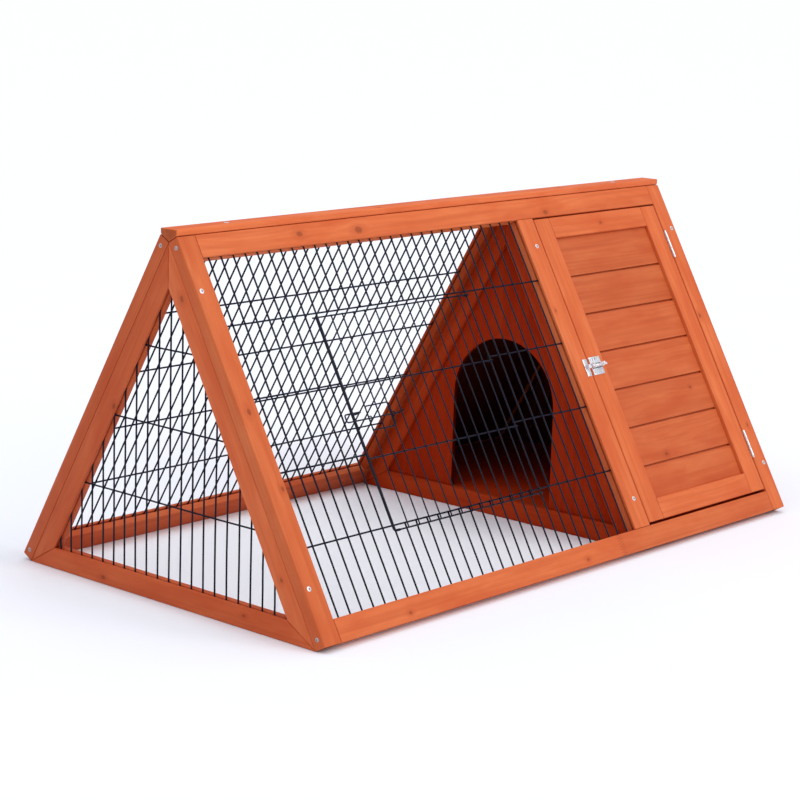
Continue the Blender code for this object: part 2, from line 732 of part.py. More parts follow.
def latch_guide(pivot):
    """Wire loop on the wire door, with two staples that the latch slides in."""
    def local(x):
        return x - HATCH_PIVOT_X

    left = local(GUIDE_X[0])
    right = local(GUIDE_X[1])
    low, high = GUIDE_S
    base = HATCH_STANDOFF + WIRE_R + GAP
    top = base + 2 * WIRE_R
    width = 2 * WIRE_R
    outer = rectangle(left, right, low, high)
    guide = prism("wire_door_latch_guide", pivot, WIRE, outer, "z", base, top)
    window = prism("latch_guide_window", pivot, WIRE,
                   rectangle(left + width, right - width, low + width, high - width),
                   "z", base - width, top + width)
    combine(guide, helper(window), "DIFFERENCE")
    rod_h = latch_height()
    roof = rod_h + LATCH_R + GUIDE_CLEARANCE
    half = LATCH_R + GUIDE_CLEARANCE
    sole = base + GAP
    slack = GAP / 3
    for number, x in enumerate((left, right - width)):
        outline = [(LATCH_S - half - width, sole), (LATCH_S - half - width, roof + width),
                   (LATCH_S + half + width, roof + width), (LATCH_S + half + width, sole),
                   (LATCH_S + half, sole), (LATCH_S + half, roof),
                   (LATCH_S - half, roof), (LATCH_S - half, sole)]
        staple = prism(f"latch_guide_staple_{number}", pivot, WIRE, outline, "x",
                       x + slack, x + width - slack)
        combine(guide, helper(staple), "UNION")


def latch_height():
    """Latch wire centre above the hinge line, clear of the guide loop."""
    return HATCH_STANDOFF + WIRE_R + GAP + 2 * WIRE_R + GAP + LATCH_R


def wire_latch(pivot):
    """Sliding wire: a loop over the mesh beside the door, whose end turns in as a hook."""
    def local(x):
        return x - HATCH_PIVOT_X

    out = latch_height()
    inside = -WIRE_R - 0.0008 - LATCH_R
    left = local(LATCH_LEFT_X)
    upper = LATCH_S + LATCH_LOOP_H
    bend = LATCH_BEND
    hook_x = local(HOOK_STEM_X)
    grip = local(LATCH_GRIP_X)
    path = [(grip, LATCH_S, out + LATCH_GRIP_OUT), (grip, LATCH_S, out + bend),
            (grip - bend, LATCH_S, out), (left + bend, LATCH_S, out),
            (left, LATCH_S + bend, out), (left, upper - bend, out), (left + bend, upper, out),
            (hook_x - bend, upper, out), (hook_x, upper, out - bend),
            (hook_x, upper, inside + bend), (hook_x - bend, upper, inside),
            (local(HOOK_TIP_X), upper, inside)]
    swept_wire("wire_door_latch", pivot, WIRE, path, LATCH_R, (left, LATCH_S, out))


# ---------------------------------------------------------------- assembly
def build():
    clear_scene()
    front = empty("front_panel", None, (0, -HALF_BASE, 0), (ANGLE, 0, 0))
    back = empty("back_panel", None, (0, HALF_BASE, 0), (ANGLE, 0, math.pi))
    door_pivot = empty("nest_door_pivot", front, (PIN_X, 0, PIN_H))
    hatch_pivot = empty("wire_door_pivot", front, (HATCH_PIVOT_X, 0, WIRE_H))

    panel_frame("front", front, 1)
    panel_frame("back", back, -1)
    ridge_cap()
    triangle_frame("end", LEFT_X, end_kerf())
    triangle_frame("partition", PARTITION_X)
    triangle_frame("nest_end", RIGHT_X - CROSS_T)
    end_mesh()
    front_mesh(front)
    back_mesh(back)
    partition_board()
    nest_floor()
    end_boards()
    back_boards(back)

    nest_door(door_pivot)
    for label, centre in HINGE_CENTRES.items():
        nest_hinge(label, centre, front, door_pivot)
    barrel_bolt(front, door_pivot)

    wire_door(hatch_pivot)
    latch_guide(hatch_pivot)
    wire_latch(hatch_pivot)


build()
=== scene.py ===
"""Looks for the A-frame chicken coop: stained softwood, black welded wire, zinc fittings.

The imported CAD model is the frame. Timbers are eased copies of their CAD solids, the meshes
are round wires, and the fittings get their fasteners, in metres and in the CAD's own frame.
"""

import json
import math
import random

import bmesh
import bpy
from mathutils import Matrix, Vector


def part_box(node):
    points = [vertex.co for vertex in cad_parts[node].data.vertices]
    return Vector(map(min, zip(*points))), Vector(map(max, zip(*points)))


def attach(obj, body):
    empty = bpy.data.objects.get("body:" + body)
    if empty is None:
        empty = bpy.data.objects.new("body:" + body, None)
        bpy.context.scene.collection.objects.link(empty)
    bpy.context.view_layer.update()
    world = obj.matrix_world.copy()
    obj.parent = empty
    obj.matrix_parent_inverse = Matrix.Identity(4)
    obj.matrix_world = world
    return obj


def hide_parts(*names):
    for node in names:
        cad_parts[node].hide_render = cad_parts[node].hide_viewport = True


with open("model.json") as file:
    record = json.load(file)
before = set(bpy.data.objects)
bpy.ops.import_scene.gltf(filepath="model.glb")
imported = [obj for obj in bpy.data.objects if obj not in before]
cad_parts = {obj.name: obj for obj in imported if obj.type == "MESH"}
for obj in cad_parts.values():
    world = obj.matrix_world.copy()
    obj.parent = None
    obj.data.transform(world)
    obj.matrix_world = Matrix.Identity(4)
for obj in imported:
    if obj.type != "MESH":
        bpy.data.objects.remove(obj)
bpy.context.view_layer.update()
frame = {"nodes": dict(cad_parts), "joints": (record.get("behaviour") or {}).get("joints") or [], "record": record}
NODES = frame["nodes"]
BODY_OF = {node: body for body, nodes in frame["record"]["behaviour"]["bodies"].items()
           for node in nodes}
RNG = random.Random(7)

# ---------------------------------------------------------------- the frame's own sizes
SLOPE_AXIS = Vector(frame["joints"][0]["axis"])
COS = SLOPE_AXIS.y
SIN = SLOPE_AXIS.z
PANEL_T = 0.021
HALF_BASE = -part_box("front_stile_left")[0].y - PANEL_T * SIN
SLOPE_H = HALF_BASE / COS
HALF_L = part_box("ridge_cap")[1].x
CAP_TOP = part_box("ridge_cap")[1].z
STILE_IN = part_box("front_stile_right")[0].x
POST_LEFT, POST_RIGHT = (corner.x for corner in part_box("front_middle_post"))
WIRE_H = 0.0145          # middle of the mesh layer above a panel's inner face
WIRE_R = 0.00140
WELD = 0.00075           # up-wires and cross wires lie this far either side of the middle
TUCK = 0.004             # of each wire end in its kerf
WIRE_PITCH = 0.025
ROW_PITCH = 0.115
RAIL_W = 0.036
CROSS_W = 0.0335

FRONT = Matrix(((1, 0, 0, 0), (0, COS, -SIN, -HALF_BASE), (0, SIN, COS, 0), (0, 0, 0, 1)))
BACK = Matrix(((-1, 0, 0, 0), (0, -COS, SIN, HALF_BASE), (0, SIN, COS, 0), (0, 0, 0, 1)))


# ---------------------------------------------------------------- shader helpers
class Tree:
    """Small helper that adds and links nodes of one material."""

    def __init__(self, name):
        self.material = bpy.data.materials.new(name)
        self.material.use_nodes = True
        self.nodes = self.material.node_tree.nodes
        self.links = self.material.node_tree.links
        self.shader = self.nodes["Principled BSDF"]

    def add(self, kind, **values):
        node = self.nodes.new(kind)
        for key, value in values.items():
            setattr(node, key, value)
        return node

    def feed(self, socket, value):
        if isinstance(value, bpy.types.NodeSocket):
            self.links.new(value, socket)
        else:
            socket.default_value = value

    def math(self, operation, a, b=0.0):
        node = self.add("ShaderNodeMath", operation=operation)
        self.feed(node.inputs[0], a)
        self.feed(node.inputs[1], b)
        return node.outputs[0]

    def step(self, value, low, high, to_low=0.0, to_high=1.0):
        """Smooth step of a value from one level to another."""
        node = self.add("ShaderNodeMapRange", interpolation_type="SMOOTHSTEP")
        for socket, number in zip(node.inputs, (value, low, high, to_low, to_high)):
            self.feed(socket, number)
        return node.outputs[0]

    def join(self, x, y, z):
        node = self.add("ShaderNodeCombineXYZ")
        for socket, value in zip(node.inputs, (x, y, z)):
            self.feed(socket, value)
        return node.outputs[0]

    def split(self, vector):
        node = self.add("ShaderNodeSeparateXYZ")
        self.feed(node.inputs[0], vector)
        return node.outputs

    def noise(self, vector, scale, detail, roughness=0.5):
        node = self.add("ShaderNodeTexNoise")
        self.feed(node.inputs["Vector"], vector)
        node.inputs["Scale"].default_value = scale
        node.inputs["Detail"].default_value = detail
        node.inputs["Roughness"].default_value = roughness
        return node.outputs["Fac"]

    def mix(self, factor, a, b):
        node = self.add("ShaderNodeMix", data_type="RGBA")
        self.feed(node.inputs["Factor"], factor)
        self.feed(node.inputs["A"], a)
        self.feed(node.inputs["B"], b)
        return node.outputs["Result"]

    def scale_colour(self, colour, factor):
        node = self.add("ShaderNodeVectorMath", operation="SCALE")
        self.feed(node.inputs[0], colour)
        self.feed(node.inputs["Scale"], factor)
        return node.outputs[0]

    def bump(self, height, distance, strength):
        node = self.add("ShaderNodeBump")
        node.inputs["Distance"].default_value = distance
        node.inputs["Strength"].default_value = strength
        self.feed(node.inputs["Height"], height)
        self.feed(self.shader.inputs["Normal"], node.outputs["Normal"])


# ---------------------------------------------------------------- materials
EARLY_WOOD = (0.700, 0.158, 0.046, 1)
LATE_WOOD = (0.500, 0.078, 0.017, 1)
RED_WOOD = (0.600, 0.100, 0.024, 1)
PALE_WOOD = (0.770, 0.205, 0.066, 1)
KNOT = (0.230, 0.045, 0.012, 1)
SHADE_AND_STAIN_TINT = (0.52, 0.17, 0.09)   # how much of each colour is left where stain lies thick, and where painted shade lies
INNER_PAINTED_SHADE = 0.5                 # painted shade: how much shaded tint the faces that look inwards take
RING_PITCH = 0.0052
RING_SWAY = 0.040                 # how far the growth rings wander across the timber
PITH_SIDE = 0.030                 # and where their middle lies, beside and below the timber
PITH_DEPTH = 0.034
FIBRES = 620                      # per metre across the grain
KNOT_LENGTH = 1.5                 # of a knot along the grain, over its width
END_DARKENING = 0.42              # of end grain
FINGER_DARKENING = 0.34           # of the glue line
FINGER_TONE = 0.94                # of the wood past the joint
FINGER_PITCH = 0.0048             # finger joint: spacing across the grain, and length along it
FINGER_LENGTH = 0.013
KNOTS = 3                         # most knots on one timber
FAR_OFF = 9.0                     # where a knot or joint lies that a timber doesn't have


def stained_wood(name, gloss):
    """Softwood under a translucent orange stain.

    Each timber's own axes are x along the grain, y across and z out of its face. Its
    properties say how it differs: seed, tone, deep from 0 to 1 for the darker, redder
    tint of thick stain and of painted shade, inner_shade_tone for painted shade on the face that
    looks inwards, edge_shade_tone for painted shade on its two long edges, finger for
    the x of a finger joint, and up to three knots as (x, y, radius).
    """
    t = Tree(name)

    def own(label, output="Fac"):
        node = t.add("ShaderNodeAttribute", attribute_type="OBJECT", attribute_name=label)
        return node.outputs[output]

    place = t.add("ShaderNodeTexCoord")
    x, y, z = t.split(place.outputs["Object"])
    normal = t.split(place.outputs["Normal"])
    seed = own("seed")
    shift = t.math("MULTIPLY", seed, 3.7)
    sx = t.math("ADD", x, shift)

    # knots push the grain aside and leave a dark disc with its own rings
    grain_y = y
    disc = 0.0
    halo = 0.0
    for number in range(KNOTS):
        kx, ky, radius = t.split(own(f"knot_{number}", "Vector"))
        radius = t.math("MAXIMUM", radius, 0.0001)
        dx = t.math("DIVIDE", t.math("SUBTRACT", x, kx), t.math("MULTIPLY", radius, KNOT_LENGTH))
        dy = t.math("DIVIDE", t.math("SUBTRACT", y, ky), radius)
        square = t.math("ADD", t.math("MULTIPLY", dx, dx), t.math("MULTIPLY", dy, dy))
        pull = t.math("EXPONENT", t.math("MULTIPLY", square, -0.16))
        offset = t.math("MULTIPLY", t.math("SUBTRACT", y, ky), pull)
        grain_y = t.math("SUBTRACT", grain_y, t.math("MULTIPLY", offset, 0.8))
        distance = t.math("SQRT", square)
        wobble = t.math("MULTIPLY", t.noise(t.join(x, y, shift), 260, 2), 0.5)
        distance = t.math("ADD", distance, t.math("SUBTRACT", wobble, 0.25))
        disc = t.math("MAXIMUM", disc, t.step(distance, 0.55, 1.1, 1.0, 0.0))
        halo = t.math("MAXIMUM", halo, t.step(distance, 0.8, 3.4, 1.0, 0.0))

    # growth rings round a pith outside the timber, wandering slowly along the grain
    wander = t.join(t.math("MULTIPLY", sx, 2.4), t.math("MULTIPLY", y, 9), shift)
    sway = t.math("MULTIPLY", t.math("SUBTRACT", t.noise(wander, 1, 2), 0.5), RING_SWAY)
    side = t.math("MULTIPLY", t.math("SINE", t.math("MULTIPLY", seed, 5.1)), PITH_SIDE)
    across = t.math("ADD", t.math("ADD", grain_y, side), sway)
    depth = t.math("ADD", t.math("ADD", z, PITH_DEPTH), t.math("MULTIPLY", sway, 0.8))
    radial = t.math("SQRT", t.math("ADD", t.math("MULTIPLY", across, across),
                                   t.math("MULTIPLY", depth, depth)))
    phase = t.math("FRACT", t.math("DIVIDE", radial, RING_PITCH))
    late = t.math("MULTIPLY", t.step(phase, 0.35, 0.88), t.step(phase, 0.93, 1.0, 1.0, 0.0))

    # fibres, and patches where the stain soaked in deeper
    fibre_at = t.join(t.math("MULTIPLY", sx, 9), t.math("MULTIPLY", grain_y, FIBRES),
                      t.math("MULTIPLY", z, FIBRES))
    fibre = t.noise(fibre_at, 1, 3, 0.6)
    patch_at = t.join(t.math("MULTIPLY", sx, 7), t.math("MULTIPLY", y, 26),
                      t.math("MULTIPLY", z, 26))
    patch = t.noise(patch_at, 1, 3, 0.55)
    streak_at = t.join(t.math("MULTIPLY", sx, 3), t.math("MULTIPLY", grain_y, 120),
                       t.math("ADD", t.math("MULTIPLY", z, 60), shift))
    streak = t.noise(streak_at, 1, 2, 0.5)

    cloud = t.noise(t.join(t.math("MULTIPLY", sx, 11), t.math("MULTIPLY", y, 34),
                           t.math("ADD", z, seed)), 1, 2, 0.5)
    colour = t.mix(t.step(cloud, 0.45, 0.72, 0.0, 0.55), EARLY_WOOD, PALE_WOOD)
    colour = t.mix(t.math("MULTIPLY", late, 0.16), colour, LATE_WOOD)
    colour = t.mix(t.step(streak, 0.42, 0.72, 0.0, 0.32), colour, LATE_WOOD)
    colour = t.mix(t.step(patch, 0.40, 0.75, 0.0, 0.75), colour, RED_WOOD)
    colour = t.mix(t.math("MULTIPLY", halo, 0.40), colour, LATE_WOOD)
    colour = t.mix(t.math("MULTIPLY", disc, 0.62), colour, KNOT)
    level = t.math("ADD", t.math("MULTIPLY", fibre, 0.16), 0.92)

    # a finger joint is a zigzag glue line between two slightly different lengths of wood
    wave = t.math("ABSOLUTE", t.math("SUBTRACT",
                                     t.math("FRACT", t.math("DIVIDE", y, FINGER_PITCH)), 0.5))
    past = t.math("SUBTRACT", t.math("SUBTRACT", x, own("finger")),
                  t.math("MULTIPLY", wave, 2 * FINGER_LENGTH))
    line = t.step(t.math("ABSOLUTE", past), 0.0008, 0.0030, FINGER_DARKENING, 0.0)
    level = t.math("MULTIPLY", level, t.math("SUBTRACT", 1.0, line))
    level = t.math("MULTIPLY", level, t.step(past, -0.0003, 0.0003, 1.0, FINGER_TONE))

    # end grain drinks more stain; the face that looks inwards is darkened as painted shade
    end = t.step(t.math("ABSOLUTE", normal[0]), 0.75, 0.95)
    thirst = t.math("MULTIPLY", end, END_DARKENING)
    level = t.math("MULTIPLY", level, t.math("SUBTRACT", 1.0, thirst))
    inward = t.step(normal[2], -0.9, -0.5, 1.0, 0.0)
    change = t.math("MULTIPLY", inward, t.math("SUBTRACT", own("inner_shade_tone"), 1.0))
    level = t.math("MULTIPLY", level, t.math("ADD", 1.0, change))
    # painted shade on the two long edges, such as the arch's reveal and the edges between the nest's boards
    edge = t.step(t.math("ABSOLUTE", normal[1]), 0.6, 0.9)
    change = t.math("MULTIPLY", edge, t.math("SUBTRACT", own("edge_shade_tone"), 1.0))
    level = t.math("MULTIPLY", level, t.math("ADD", 1.0, change))
    level = t.math("MULTIPLY", level, own("tone"))
    # darker, redder tint: painted shade on shaded timbers and on inward faces, real thicker stain on the door's
    # planks
    deep = t.math("MAXIMUM", own("deep"), t.math("MULTIPLY", inward, INNER_PAINTED_SHADE))
    left = [t.math("SUBTRACT", 1.0, t.math("MULTIPLY", deep, 1 - part)) for part in SHADE_AND_STAIN_TINT]
    shares = t.split(colour)
    colour = t.join(*[t.math("MULTIPLY", share, part) for share, part in zip(shares, left)])
    t.feed(t.shader.inputs["Base Color"], t.scale_colour(colour, level))

    rough = t.math("ADD", 0.46, t.math("MULTIPLY", patch, 0.16))
    t.feed(t.shader.inputs["Roughness"], t.math("ADD", rough, t.math("MULTIPLY", end, 0.2)))
    t.shader.inputs["Specular IOR Level"].default_value = gloss
    height = t.math("ADD", t.math("MULTIPLY", fibre, 0.7), t.math("MULTIPLY", late, 0.35))
    height = t.math("SUBTRACT", height, t.math("MULTIPLY", disc, 0.5))
    t.bump(height, 0.00025, 0.5)
    return t.material


def coated_wire():
    """Black dip-coated steel, with slightly uneven thickness."""
    t = Tree("black_coated_wire")
    place = t.add("ShaderNodeTexCoord").outputs["Object"]
    blotch = t.noise(place, 90, 3)
    grit = t.noise(place, 1400, 2)
    t.feed(t.shader.inputs["Base Color"],
           t.mix(t.step(blotch, 0.35, 0.7), (0.003, 0.004, 0.012, 1), (0.006, 0.008, 0.020, 1)))
    t.feed(t.shader.inputs["Roughness"], t.step(blotch, 0.3, 0.75, 0.34, 0.52))
    t.shader.inputs["Specular IOR Level"].default_value = 0.14
    t.bump(t.math("ADD", t.math("MULTIPLY", grit, 0.4), blotch), 0.0002, 0.4)
    return t.material


def zinc(name, tint, shade, metallic):
    """Zinc plate with faint passivation clouds and rolling scratches."""
    t = Tree(name)
    place = t.add("ShaderNodeTexCoord").outputs["Object"]
    x, y, z = t.split(place)
    cloud = t.noise(place, 160, 3)
    scratch = t.noise(t.join(t.math("MULTIPLY", x, 300), t.math("MULTIPLY", y, 4200),
                             t.math("MULTIPLY", z, 900)), 1, 2)
    t.feed(t.shader.inputs["Base Color"], t.mix(t.step(cloud, 0.35, 0.7), tint, shade))
    t.shader.inputs["Metallic"].default_value = metallic
    t.feed(t.shader.inputs["Roughness"], t.step(scratch, 0.3, 0.7, 0.22, 0.40))
    t.bump(scratch, 0.00006, 0.5)
    return t.material


def recess_black():
    """Shadowed bottom of a stamped slot or a screw's recess."""
    t = Tree("recess_shadow")
    place = t.add("ShaderNodeTexCoord").outputs["Object"]
    dust = t.noise(place, 900, 2)
    t.feed(t.shader.inputs["Base Color"],
           t.mix(dust, (0.010, 0.010, 0.012, 1), (0.045, 0.040, 0.038, 1)))
    t.shader.inputs["Roughness"].default_value = 0.8
    return t.material


WOOD = stained_wood("stained_softwood", 0.18)
# a shaded copy of the wood, with little sheen, for timbers painted in deep shade
SHADED_WOOD = stained_wood("deep_stained_softwood", 0.02)
WIRE = coated_wire()
ZINC = zinc("bright_zinc", (0.95, 0.95, 0.95, 1), (0.80, 0.81, 0.84, 1), 0.7)
# a darker copy of the zinc: painted shade on the end screws' heads
SHADED_SCREW_ZINC = zinc("shaded_screw_zinc", (0.50, 0.46, 0.46, 1), (0.34, 0.32, 0.34, 1), 0.7)
RECESS = recess_black()


# ---------------------------------------------------------------- mesh helpers
def new_object(name, bm, materials, matrix, sharp=40):
    """A smooth-shaded object from a bmesh given in the object's own axes."""
    mesh = bpy.data.meshes.new(name)
    bm.to_mesh(mesh)
    bm.free()
    mesh.shade_smooth()
    mesh.set_sharp_from_angle(angle=math.radians(sharp))
    for item in materials:
        mesh.materials.append(item)
    piece = bpy.data.objects.new(name, mesh)
    bpy.context.scene.collection.objects.link(piece)
    piece.matrix_world = matrix
    return piece


def axes(along, out, origin):
    """Object axes: x along the grain, z out of the face, y across."""
    x = Vector(along).normalized()
    z = Vector(out).normalized()
    y = z.cross(x)
    return Matrix((
        (x.x, y.x, z.x, origin[0]),
        (x.y, y.y, z.y, origin[1]),
        (x.z, y.z, z.z, origin[2]),
        (0, 0, 0, 1)))


def eased_copy(node, matrix, ease, materials, segments=3, angle=30):
    """The CAD solid with its outer edges rounded, in axes of its own, in place of the node."""
    bm = bmesh.new()
    bm.from_mesh(NODES[node].data)
    bmesh.ops.transform(bm, matrix=matrix.inverted(), verts=bm.verts)
    bmesh.ops.remove_doubles(bm, verts=bm.verts, dist=0.00001)
    bmesh.ops.dissolve_limit(bm, angle_limit=math.radians(1), verts=bm.verts, edges=bm.edges)
    limit = math.radians(angle)
    sharp = [e for e in bm.edges if e.is_manifold and e.calc_face_angle_signed() > limit]
    bmesh.ops.bevel(bm, geom=sharp, offset=ease, segments=segments, profile=0.5,
                    affect="EDGES", clamp_overlap=True)
    piece = new_object("coop_" + node, bm, materials, matrix, 35)
    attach(piece, BODY_OF[node])
    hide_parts(node)
    return piece


def tube(bm, points, radius, sides=8):
    """A round wire with flat ends along a list of points, without twist."""
    points = [Vector(point) for point in points]
    last = len(points) - 1
    tangents = [(points[min(i + 1, last)] - points[max(i - 1, 0)]).normalized()
                for i in range(last + 1)]
    side = tangents[0].orthogonal().normalized()
    rings = []
    for point, tangent in zip(points, tangents):
        side = (side - tangent * side.dot(tangent)).normalized()
        other = tangent.cross(side)
        ring = []
        for i in range(sides):
            turn = 2 * math.pi * i / sides
            offset = side * math.cos(turn) + other * math.sin(turn)
            ring.append(bm.verts.new(point + offset * radius))
        rings.append(ring)
    for lower, upper in zip(rings, rings[1:]):
        for i in range(sides):
            j = (i + 1) % sides
            bm.faces.new((lower[i], lower[j], upper[j], upper[i]))
    bm.faces.new(rings[0][::-1])
    bm.faces.new(rings[-1])


def rounded(points, radius, steps=5):
    """A path with its corners turned into arcs."""
    points = [Vector(point) for point in points]
    path = [points[0]]
    for before, corner, after in zip(points, points[1:], points[2:]):
        back = before - corner
        on = after - corner
        cut = min(radius, back.length * 0.49, on.length * 0.49)
        start = corner + back.normalized() * cut
        end = corner + on.normalized() * cut
        for i in range(steps + 1):
            f = i / steps
            path.append(start.lerp(corner, f).lerp(corner.lerp(end, f), f))
    path.append(points[-1])
    return path


def finish_piece(piece, body, slot, *nodes):
    """Puts a piece on its body and hides the nodes it stands for; slot is not used."""
    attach(piece, body)
    if nodes:
        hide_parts(*nodes)


# ---------------------------------------------------------------- timbers
ALONG_X = (1, 0, 0)
UP_FRONT = (0, COS, SIN)
OUT_FRONT = (0, -SIN, COS)
UP_BACK = (0, -COS, SIN)
OUT_BACK = (0, SIN, COS)
LEFT = (-1, 0, 0)
RIGHT = (1, 0, 0)
EASE = 0.0014
PLANK_EASE = 0.0007
INSIDE_SHADE = 0.20            # painted shade: tone of the faces that look into the nest box
DOOR_INSIDE_SHADE = 0.75       # painted shade: tone of the nest door's inner face
SHADED_ABOVE = 0.5          # painted shade deeper than this takes the shaded copy of the wood, with little sheen


def timber(node, along, out, seed, tone=1.0, inner_shade_tone=1.0, deep=0.0, knots=(), ease=EASE,
           edge_shade_tone=1.0, finger=None):
    """One piece of stained wood; knots are (point in the world, radius)."""
    low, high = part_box(node)
    matrix = axes(along, out, (low + high) / 2)
    piece = eased_copy(node, matrix, ease, [SHADED_WOOD if deep > SHADED_ABOVE else WOOD])
    piece["seed"] = float(seed)
    piece["tone"] = float(tone)
    piece["inner_shade_tone"] = float(inner_shade_tone)
    piece["edge_shade_tone"] = float(edge_shade_tone)
    piece["finger"] = FAR_OFF if finger is None else finger - matrix.translation.x
    piece["deep"] = float(deep)
    for number in range(KNOTS):
        spot = [FAR_OFF, FAR_OFF, 0.0001]
        if number < len(knots):
            point, radius = knots[number]
            local = matrix.inverted() @ Vector(point)
            spot = [local.x, local.y, radius]
        piece[f"knot_{number}"] = spot
    return piece


def on_front(x, s):
    """A point on the front panel's outer face."""
    return FRONT @ Vector((x, s, PANEL_T))


def side_panels():
    """Frames of the two sloping sides."""
    timber("front_stile_left", UP_FRONT, OUT_FRONT, 1.3, 0.93,
           knots=[(on_front(-0.583, 0.357), 0.0042), (on_front(-0.572, 0.236), 0.0034)])
    timber("front_stile_right", UP_FRONT, OUT_FRONT, 2.1, 1.03,
           knots=[(on_front(0.572, 0.376), 0.0038), (on_front(0.585, 0.16), 0.0026)])
    timber("front_middle_post", UP_FRONT, OUT_FRONT, 3.6, 1.02,
           knots=[(on_front(0.178, 0.43), 0.0022)])
    timber("front_top_rail", ALONG_X, OUT_FRONT, 4.2, 1.03,
           knots=[(on_front(-0.353, 0.617), 0.0050), (on_front(-0.222, 0.613), 0.0066),
                  (on_front(0.250, 0.606), 0.0046)])
    timber("front_bottom_rail", ALONG_X, OUT_FRONT, 5.9, 0.98,
           knots=[(on_front(-0.41, 0.012), 0.0030), (on_front(0.023, 0.011), 0.0028)],
           finger=0.112)
    for node, along, seed in (("back_stile_left", UP_BACK, 6.4),
                              ("back_stile_right", UP_BACK, 7.7),
                              ("back_top_rail", ALONG_X, 9.5),
                              ("back_bottom_rail", ALONG_X, 10.8)):
        # painted shade: the back frames take part of the shaded tint, and the stiles on the nest's side a darker
        # inward face
        inner_shade_tone = INSIDE_SHADE if "stile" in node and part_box(node)[0].x > 0 else 1.0
        timber(node, along, OUT_BACK, seed, 0.95, inner_shade_tone, 0.3)
    # painted shade: the back middle post is darker and takes the shaded tint
    timber("back_middle_post", UP_BACK, OUT_BACK, 8.2, 0.85, deep=0.65)
    timber("ridge_cap", ALONG_X, (0, 0, 1), 11.1, 1.14,
           knots=[((-0.15, -0.006, CAP_TOP), 0.003), ((0.33, 0.004, CAP_TOP), 0.003)])


def cross_frames():
    """The three triangular frames, the partition board, the end boards and the floor."""
    end = -HALF_L
    # painted shade: the end frame's faces take part of the shaded tint
    timber("end_rafter_front", UP_FRONT, LEFT, 12.3, 1.08, deep=0.08,
           knots=[((end, -0.030, 0.470), 0.0040), ((end, -0.245, 0.09), 0.0030)])
    timber("end_rafter_back", UP_BACK, LEFT, 13.9, 1.02, deep=0.38,
           knots=[((end, 0.260, 0.100), 0.0040), ((end, 0.118, 0.2857), 0.0036)])
    timber("end_bottom_rail", (0, 1, 0), LEFT, 14.2, 1.10, deep=0.36,
           knots=[((end, 0.141, 0.011), 0.0036), ((end, -0.170, 0.020), 0.0028)])
    # painted shade: the partition and the nest floor are darkened with the shaded tint
    timber("partition_rafter_front", UP_FRONT, LEFT, 15.5, 1.30, INSIDE_SHADE, deep=0.9)
    timber("partition_rafter_back", UP_BACK, LEFT, 16.7, 1.15, INSIDE_SHADE, deep=0.9)
    timber("partition_bottom_rail", (0, 1, 0), LEFT, 17.2, 1.15, INSIDE_SHADE, deep=0.9)
    # painted shade: the board's long edges, the arch's reveal, are darkened
    timber("partition_board", (0, 0, 1), LEFT, 19.6, 1.05, INSIDE_SHADE, deep=1.0,
           ease=PLANK_EASE, edge_shade_tone=0.25)
    timber("nest_floor", ALONG_X, (0, 0, 1), 20.4, 1.3, deep=1.0, ease=PLANK_EASE)
    # painted shade: the nest's end and back pieces have darker inward faces and long edges, and part of the shaded
    # tint
    for name, along, seed in (("rafter_front", UP_FRONT, 19.8), ("rafter_back", UP_BACK, 21.0),
                              ("bottom_rail", (0, 1, 0), 18.4)):
        timber("nest_end_" + name, along, RIGHT, seed, 0.95, INSIDE_SHADE, 0.2, edge_shade_tone=INSIDE_SHADE)
    for number in (1, 2, 3):
        timber(f"nest_end_board_{number}", (0, 1, 0), RIGHT, 20 + 2.3 * number, 0.92, INSIDE_SHADE,
               0.2, (), PLANK_EASE, INSIDE_SHADE)
    for number in (1, 2, 3, 4):
        timber(f"nest_back_board_{number}", ALONG_X, OUT_BACK, 31 + 1.7 * number, 0.95, INSIDE_SHADE,
               0.1, (), PLANK_EASE, INSIDE_SHADE)


def nest_door():
    """Stiles, rails and shiplap planks of the nest door."""
    # painted shade: the door's inner faces are darker
    timber("nest_door_stile_latch", UP_FRONT, OUT_FRONT, 40.3, 1.02, DOOR_INSIDE_SHADE)
    timber("nest_door_stile_hinge", UP_FRONT, OUT_FRONT, 41.9, 1.05, DOOR_INSIDE_SHADE)
    timber("nest_door_top_rail", ALONG_X, OUT_FRONT, 42.6, 1.03, DOOR_INSIDE_SHADE,
           knots=[(on_front(0.39, 0.575), 0.0030)])
    timber("nest_door_bottom_rail", ALONG_X, OUT_FRONT, 43.4, 1.02, DOOR_INSIDE_SHADE)
    spots = {5: [(on_front(0.47, 0.252), 0.0026)], 6: [(on_front(0.333, 0.147), 0.0036)]}
    tones = (0.93, 0.91, 0.95, 0.96, 0.93, 0.94, 0.95)
    for number, tone in enumerate(tones, 1):
        timber(f"nest_door_plank_{number}", ALONG_X, OUT_FRONT, 44 + 1.37 * number, tone,
               DOOR_INSIDE_SHADE, 0.18, spots.get(number, ()), PLANK_EASE)


# ---------------------------------------------------------------- welded mesh
def wavy(start, end, normal, amount=0.0005, steps=6):
    """A nearly straight wire with the slight waves of welded mesh."""
    start = Vector(start)
    end = Vector(end)
    lean = RNG.uniform(-amount, amount)
    bow = RNG.uniform(-amount, amount)
    side = (end - start).cross(normal).normalized()
    path = []
    for i in range(steps + 1):
        f = i / steps
        push = math.sin(math.pi * f) * bow + math.sin(2 * math.pi * f) * lean
        path.append(start.lerp(end, f) + side * push)
    return path


